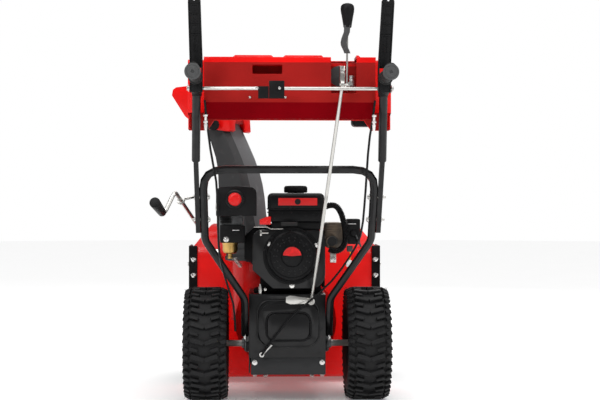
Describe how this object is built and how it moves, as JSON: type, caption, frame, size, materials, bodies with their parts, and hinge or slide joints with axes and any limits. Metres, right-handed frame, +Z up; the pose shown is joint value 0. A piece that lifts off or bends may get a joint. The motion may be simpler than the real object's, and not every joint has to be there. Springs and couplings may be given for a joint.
{
  "type": "snow blower",
  "caption": "Walk-behind two-stage snow blower with engine, auger housing, turning discharge chute, wheels, U-shaped handles, console and clutch levers.",
  "frame": {"origin": "middle of the bounding box, at the level where the tyres and skid shoes rest on the ground", "axes": "+X to the operator's right, +Y forward in the direction of travel, +Z up"},
  "size_m": [0.6866, 1.2632, 1.098],
  "materials": {
    "red_paint": "gloss red paint on pressed steel",
    "black_paint": "satin black powder coat on steel",
    "grey_paint": "dark grey paint",
    "black_plastic": "fine grained black plastic",
    "chute_plastic": "dark grey moulded plastic",
    "red_plastic": "glossy red plastic",
    "soft_rubber": "matt moulded rubber",
    "tread_rubber": "tyre rubber",
    "zinc": "zinc plated steel",
    "rim_paint": "light grey paint on pressed steel",
    "cast_aluminium": "as cast aluminium",
    "exhaust_steel": "heat tinted sheet steel"
  },
  "bodies": {
    "chassis": {"auger_housing": "red_paint", "console": "red_paint", "end_plate_left": "black_paint", "end_plate_right": "black_paint", "scraper_bar": "black_paint", "skid_shoe_left": "black_paint", "skid_shoe_right": "black_paint", "tractor_case": "black_paint", "rear_cover": "black_paint", "lower_handle": "black_paint", "upper_handle_left": "black_paint", "upper_handle_right": "black_paint", "fan_shroud": "black_paint", "recoil_cover": "black_paint", "bottom_plate": "grey_paint", "belt_cover": "black_plastic", "headlight": "black_plastic", "lever_bracket_left": "black_plastic", "lever_bracket_right": "black_plastic", "fuel_tank": "black_plastic", "carburettor_cover": "black_plastic", "starter_box": "black_plastic", "starter_conduit": "black_plastic", "drive_cable": "black_plastic", "auger_cable": "black_plastic", "grip_left": "soft_rubber", "grip_right": "soft_rubber", "crank_bracket": "zinc", "engine_block": "cast_aluminium", "carburettor": "cast_aluminium", "auger_gearbox": "cast_aluminium", "muffler": "exhaust_steel"},
    "running_gear": {"axle": "zinc", "rim_left": "rim_paint", "rim_right": "rim_paint", "tyre_left": "tread_rubber", "tyre_right": "tread_rubber"},
    "impeller": {"impeller": "red_paint"},
    "augers": {"auger_left": "red_paint", "auger_right": "red_paint"},
    "crankshaft": {"crankshaft": "zinc"},
    "drive_disc": {"drive_disc": "cast_aluminium"},
    "friction_wheel": {"friction_wheel": "soft_rubber"},
    "drive_lever": {"drive_lever": "black_plastic", "drive_interlock_rod": "zinc"},
    "auger_lever": {"auger_lever": "black_plastic", "auger_interlock_rod": "zinc"},
    "speed_lever": {"speed_lever": "zinc", "speed_knob": "black_plastic"},
    "shift_rod": {"shift_rod": "zinc"},
    "shift_arm": {"shift_arm": "zinc"},
    "chute": {"chute": "chute_plastic"},
    "deflector": {"chute_deflector": "red_paint"},
    "chute_crank": {"chute_crank": "zinc", "crank_grip": "black_plastic"},
    "fuel_cap": {"fuel_cap": "black_plastic"},
    "primer_bulb": {"primer_bulb": "red_plastic"},
    "throttle_lever": {"throttle_lever": "red_plastic"},
    "recoil_handle": {"recoil_handle": "soft_rubber"},
    "starter_button": {"starter_button": "black_plastic"}
  },
  "joints": [
    {"name": "wheels_turn", "type": "hinge", "parent": "chassis", "child": "running_gear", "pos_m": [0.01555, 0.01964, 0.165], "axis": [1, 0, 0], "continuous": true},
    {"name": "impeller_spin", "type": "hinge", "parent": "chassis", "child": "impeller", "pos_m": [0.01555, 0.21964, 0.215], "axis": [0, 1, 0], "continuous": true},
    {"name": "auger_turn", "type": "hinge", "parent": "chassis", "child": "augers", "pos_m": [0.01555, 0.48164, 0.187], "axis": [1, 0, 0], "continuous": true},
    {"name": "crankshaft_spin", "type": "hinge", "parent": "chassis", "child": "crankshaft", "pos_m": [0.02855, 0.01964, 0.427], "axis": [0, 1, 0], "continuous": true},
    {"name": "drive_disc_spin", "type": "hinge", "parent": "chassis", "child": "drive_disc", "pos_m": [0.01555, 0.03964, 0.236], "axis": [0, 1, 0], "continuous": true},
    {"name": "friction_wheel_slide", "type": "slide", "parent": "chassis", "child": "friction_wheel", "axis": [1, 0, 0], "range_m": [-0.038, 0.038]},
    {"name": "drive_lever_press", "type": "hinge", "parent": "chassis", "child": "drive_lever", "pos_m": [-0.22245, -0.47636, 0.868], "axis": [1, 0, 0], "range_deg": [0, 30], "stiffness_Nm_per_rad": 1, "springref_deg": -14.32},
    {"name": "auger_lever_press", "type": "hinge", "parent": "chassis", "child": "auger_lever", "pos_m": [0.25355, -0.47636, 0.868], "axis": [1, 0, 0], "range_deg": [0, 30], "stiffness_Nm_per_rad": 1, "springref_deg": -14.32},
    {"name": "speed_select", "type": "hinge", "parent": "chassis", "child": "speed_lever", "pos_m": [0.16555, -0.37536, 0.88], "axis": [1, 0, 0], "range_deg": [-9, 5]},
    {"name": "shift_rod_lift", "type": "slide", "parent": "chassis", "child": "shift_rod", "axis": [0, 0, 1], "range_m": [-0.0122, 0.0122]},
    {"name": "shift_arm_swing", "type": "hinge", "parent": "chassis", "child": "shift_arm", "pos_m": [0.02355, -0.08386, 0.301], "axis": [0, 1, 0], "range_deg": [-12, 12]},
    {"name": "chute_turn", "type": "hinge", "parent": "chassis", "child": "chute", "pos_m": [-0.08445, 0.22564, 0.4], "axis": [0, 0, 1], "range_deg": [-160, 40]},
    {"name": "deflector_tilt", "type": "hinge", "parent": "chute", "child": "deflector", "pos_m": [-0.17798, 0.27964, 0.822], "axis": [0.5, 0.866, 0], "range_deg": [-40, 0]},
    {"name": "crank_turn", "type": "hinge", "parent": "chassis", "child": "chute_crank", "pos_m": [-0.27345, -0.30836, 0.586], "axis": [0.1386, 0.9426, -0.3037], "range_deg": [-1920, 480]},
    {"name": "fuel_cap_turn", "type": "hinge", "parent": "chassis", "child": "fuel_cap", "pos_m": [0.04155, -0.01036, 0.612], "axis": [0, 0, 1], "range_deg": [0, 90]},
    {"name": "primer_press", "type": "slide", "parent": "chassis", "child": "primer_bulb", "axis": [0, 1, 0], "range_m": [0, 0.006], "stiffness_N_per_m": 300},
    {"name": "throttle_swing", "type": "hinge", "parent": "chassis", "child": "throttle_lever", "pos_m": [-0.04145, -0.07536, 0.5215], "axis": [0, 1, 0], "range_deg": [-20, 20]},
    {"name": "recoil_pull", "type": "slide", "parent": "chassis", "child": "recoil_handle", "axis": [0, -1, 0], "range_m": [0, 0.45], "stiffness_N_per_m": 5, "springref_m": -0.2},
    {"name": "starter_press", "type": "slide", "parent": "chassis", "child": "starter_button", "axis": [0, 1, 0], "range_m": [0, 0.003], "stiffness_N_per_m": 500}
  ],
  "couplings": [
    {"joint": "crankshaft_spin", "follows": "impeller_spin", "ratio": 2.0526},
    {"joint": "auger_turn", "follows": "impeller_spin", "ratio": 0.1},
    {"joint": "drive_disc_spin", "follows": "impeller_spin", "ratio": 1.7727},
    {"joint": "friction_wheel_slide", "follows": "speed_select", "m_per_rad": 0.235},
    {"joint": "shift_rod_lift", "follows": "speed_select", "m_per_rad": -0.075},
    {"joint": "shift_arm_swing", "follows": "speed_select", "ratio": 1.25},
    {"joint": "crank_turn", "follows": "chute_turn", "ratio": 12}
  ]
}
